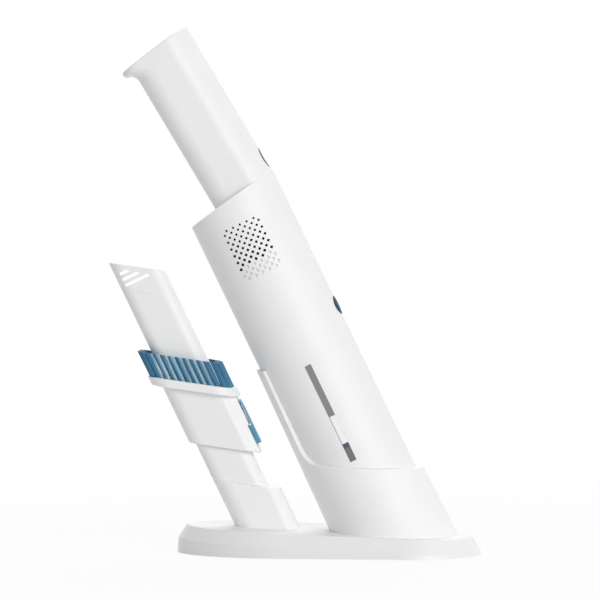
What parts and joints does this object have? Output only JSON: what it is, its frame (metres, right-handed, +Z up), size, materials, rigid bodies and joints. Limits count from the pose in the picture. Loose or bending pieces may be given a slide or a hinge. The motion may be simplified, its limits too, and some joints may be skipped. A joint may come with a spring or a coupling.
{
  "type": "handheld vacuum with charging dock",
  "caption": "Slim white cordless handheld vacuum leaning in a tall cradle on a rounded charging dock, beside a crevice tool with a sliding dusting brush.",
  "frame": {"origin": "middle of the dock's length and depth, on its underside", "axes": "+X to the right along the dock's length, +Y towards its back, +Z up; the vacuum leans to -X"},
  "size_m": [0.2674, 0.104, 0.3752],
  "materials": {
    "white_shell": "smooth gloss moulding",
    "white_cradle": "soft satin moulding",
    "white_tool": "satin moulding",
    "white_inner": "plain moulding",
    "blue_button": "satin slate blue",
    "blue_lever": "satin blue",
    "blue_bristle": "bundled nylon filament",
    "window_tint": "clear strip over the grey filter, its collar and seal",
    "dark_plastic": "fine grain",
    "dark_rubber": "matt",
    "violet_seal": "matt",
    "grey_pleat": "pleated felt",
    "dark_foam": "open-cell foam",
    "steel": "bright zinc",
    "motor_steel": "rolled can",
    "brass_contact": "plated",
    "circuit_green": "solder mask",
    "cell_wrap": "shrink sleeve"
  },
  "bodies": {
    "dock": {"dock_top_shell": "white_cradle", "dock_base_plate": "dark_plastic", "nonslip_pad": "dark_rubber", "dock_screws": "steel", "ballast_plate": "steel", "dock_board": "circuit_green", "dc_jack": "dark_plastic", "jack_pin": "brass_contact", "vacuum_cradle": "white_cradle", "contact_block": "dark_plastic", "charge_contacts": "brass_contact", "tool_holder": "white_cradle"},
    "dust_cup": {"dust_cup": "white_shell", "window_lens": "window_tint", "inlet_duct": "dark_plastic", "flap_pin": "steel"},
    "inlet_flap": {"inlet_flap": "dark_plastic"},
    "main_unit": {"body_shell_front": "white_shell", "body_shell_back": "white_shell", "handle_cap": "white_shell", "handle_screws": "steel", "charge_pads": "brass_contact", "power_switch": "dark_plastic", "control_board": "circuit_green", "release_spring": "steel", "motor_bulkhead": "white_inner", "motor_housing": "white_inner", "motor_can": "motor_steel", "motor_mount_ring": "dark_rubber", "exhaust_filter": "dark_foam", "battery_cell_left": "cell_wrap", "battery_cell_right": "cell_wrap", "battery_holder": "dark_plastic"},
    "power_button": {"power_button": "blue_button"},
    "release_button": {"release_button": "blue_button"},
    "impeller": {"impeller": "dark_plastic", "motor_shaft": "steel"},
    "filter": {"filter_frame": "white_inner", "filter_element": "grey_pleat", "filter_seal": "violet_seal"},
    "tool": {"crevice_nozzle": "white_tool"},
    "brush_unit": {"brush_body": "white_tool", "bristles_front": "blue_bristle", "bristles_right_front": "blue_bristle", "bristles_right_back": "blue_bristle", "bristles_back": "blue_bristle", "bristles_left_back": "blue_bristle", "bristles_left_front": "blue_bristle", "latch_pin": "steel", "latch_spring": "steel"},
    "latch_lever": {"latch_lever": "blue_lever"}
  },
  "joints": [
    {"name": "lift_out", "type": "slide", "parent": "dock", "child": "dust_cup", "axis": [-0.4352, 0, 0.9003], "range_m": [0, 0.14]},
    {"name": "cup_release", "type": "slide", "parent": "dust_cup", "child": "main_unit", "axis": [-0.4352, 0, 0.9003], "range_m": [0, 0.08]},
    {"name": "filter_pull", "type": "slide", "parent": "main_unit", "child": "filter", "axis": [0.4352, 0, -0.9003], "range_m": [0, 0.018]},
    {"name": "flap_swing", "type": "hinge", "parent": "dust_cup", "child": "inlet_flap", "pos_m": [0.01218, 0, 0.04087], "axis": [0, -1, 0], "range_deg": [0, 40]},
    {"name": "power_press", "type": "slide", "parent": "main_unit", "child": "power_button", "axis": [-0.8581, 0, -0.5135], "range_m": [0, 0.0015], "stiffness_N_per_m": 600},
    {"name": "release_press", "type": "slide", "parent": "main_unit", "child": "release_button", "axis": [-0.9003, 0, -0.4352], "range_m": [0, 0.002], "stiffness_N_per_m": 800},
    {"name": "impeller_spin", "type": "hinge", "parent": "main_unit", "child": "impeller", "pos_m": [-0.01851, 0, 0.14755], "axis": [-0.4352, 0, 0.9003], "continuous": true},
    {"name": "tool_lift", "type": "slide", "parent": "dock", "child": "tool", "axis": [-0.4352, 0, 0.9003], "range_m": [0, 0.065]},
    {"name": "brush_slide", "type": "slide", "parent": "tool", "child": "brush_unit", "axis": [-0.4352, 0, 0.9003], "range_m": [0, 0.07]},
    {"name": "latch_press", "type": "hinge", "parent": "brush_unit", "child": "latch_lever", "pos_m": [-0.06655, 0, 0.10529], "axis": [0, 1, 0], "range_deg": [0, 5], "stiffness_Nm_per_rad": 0.1}
  ]
}
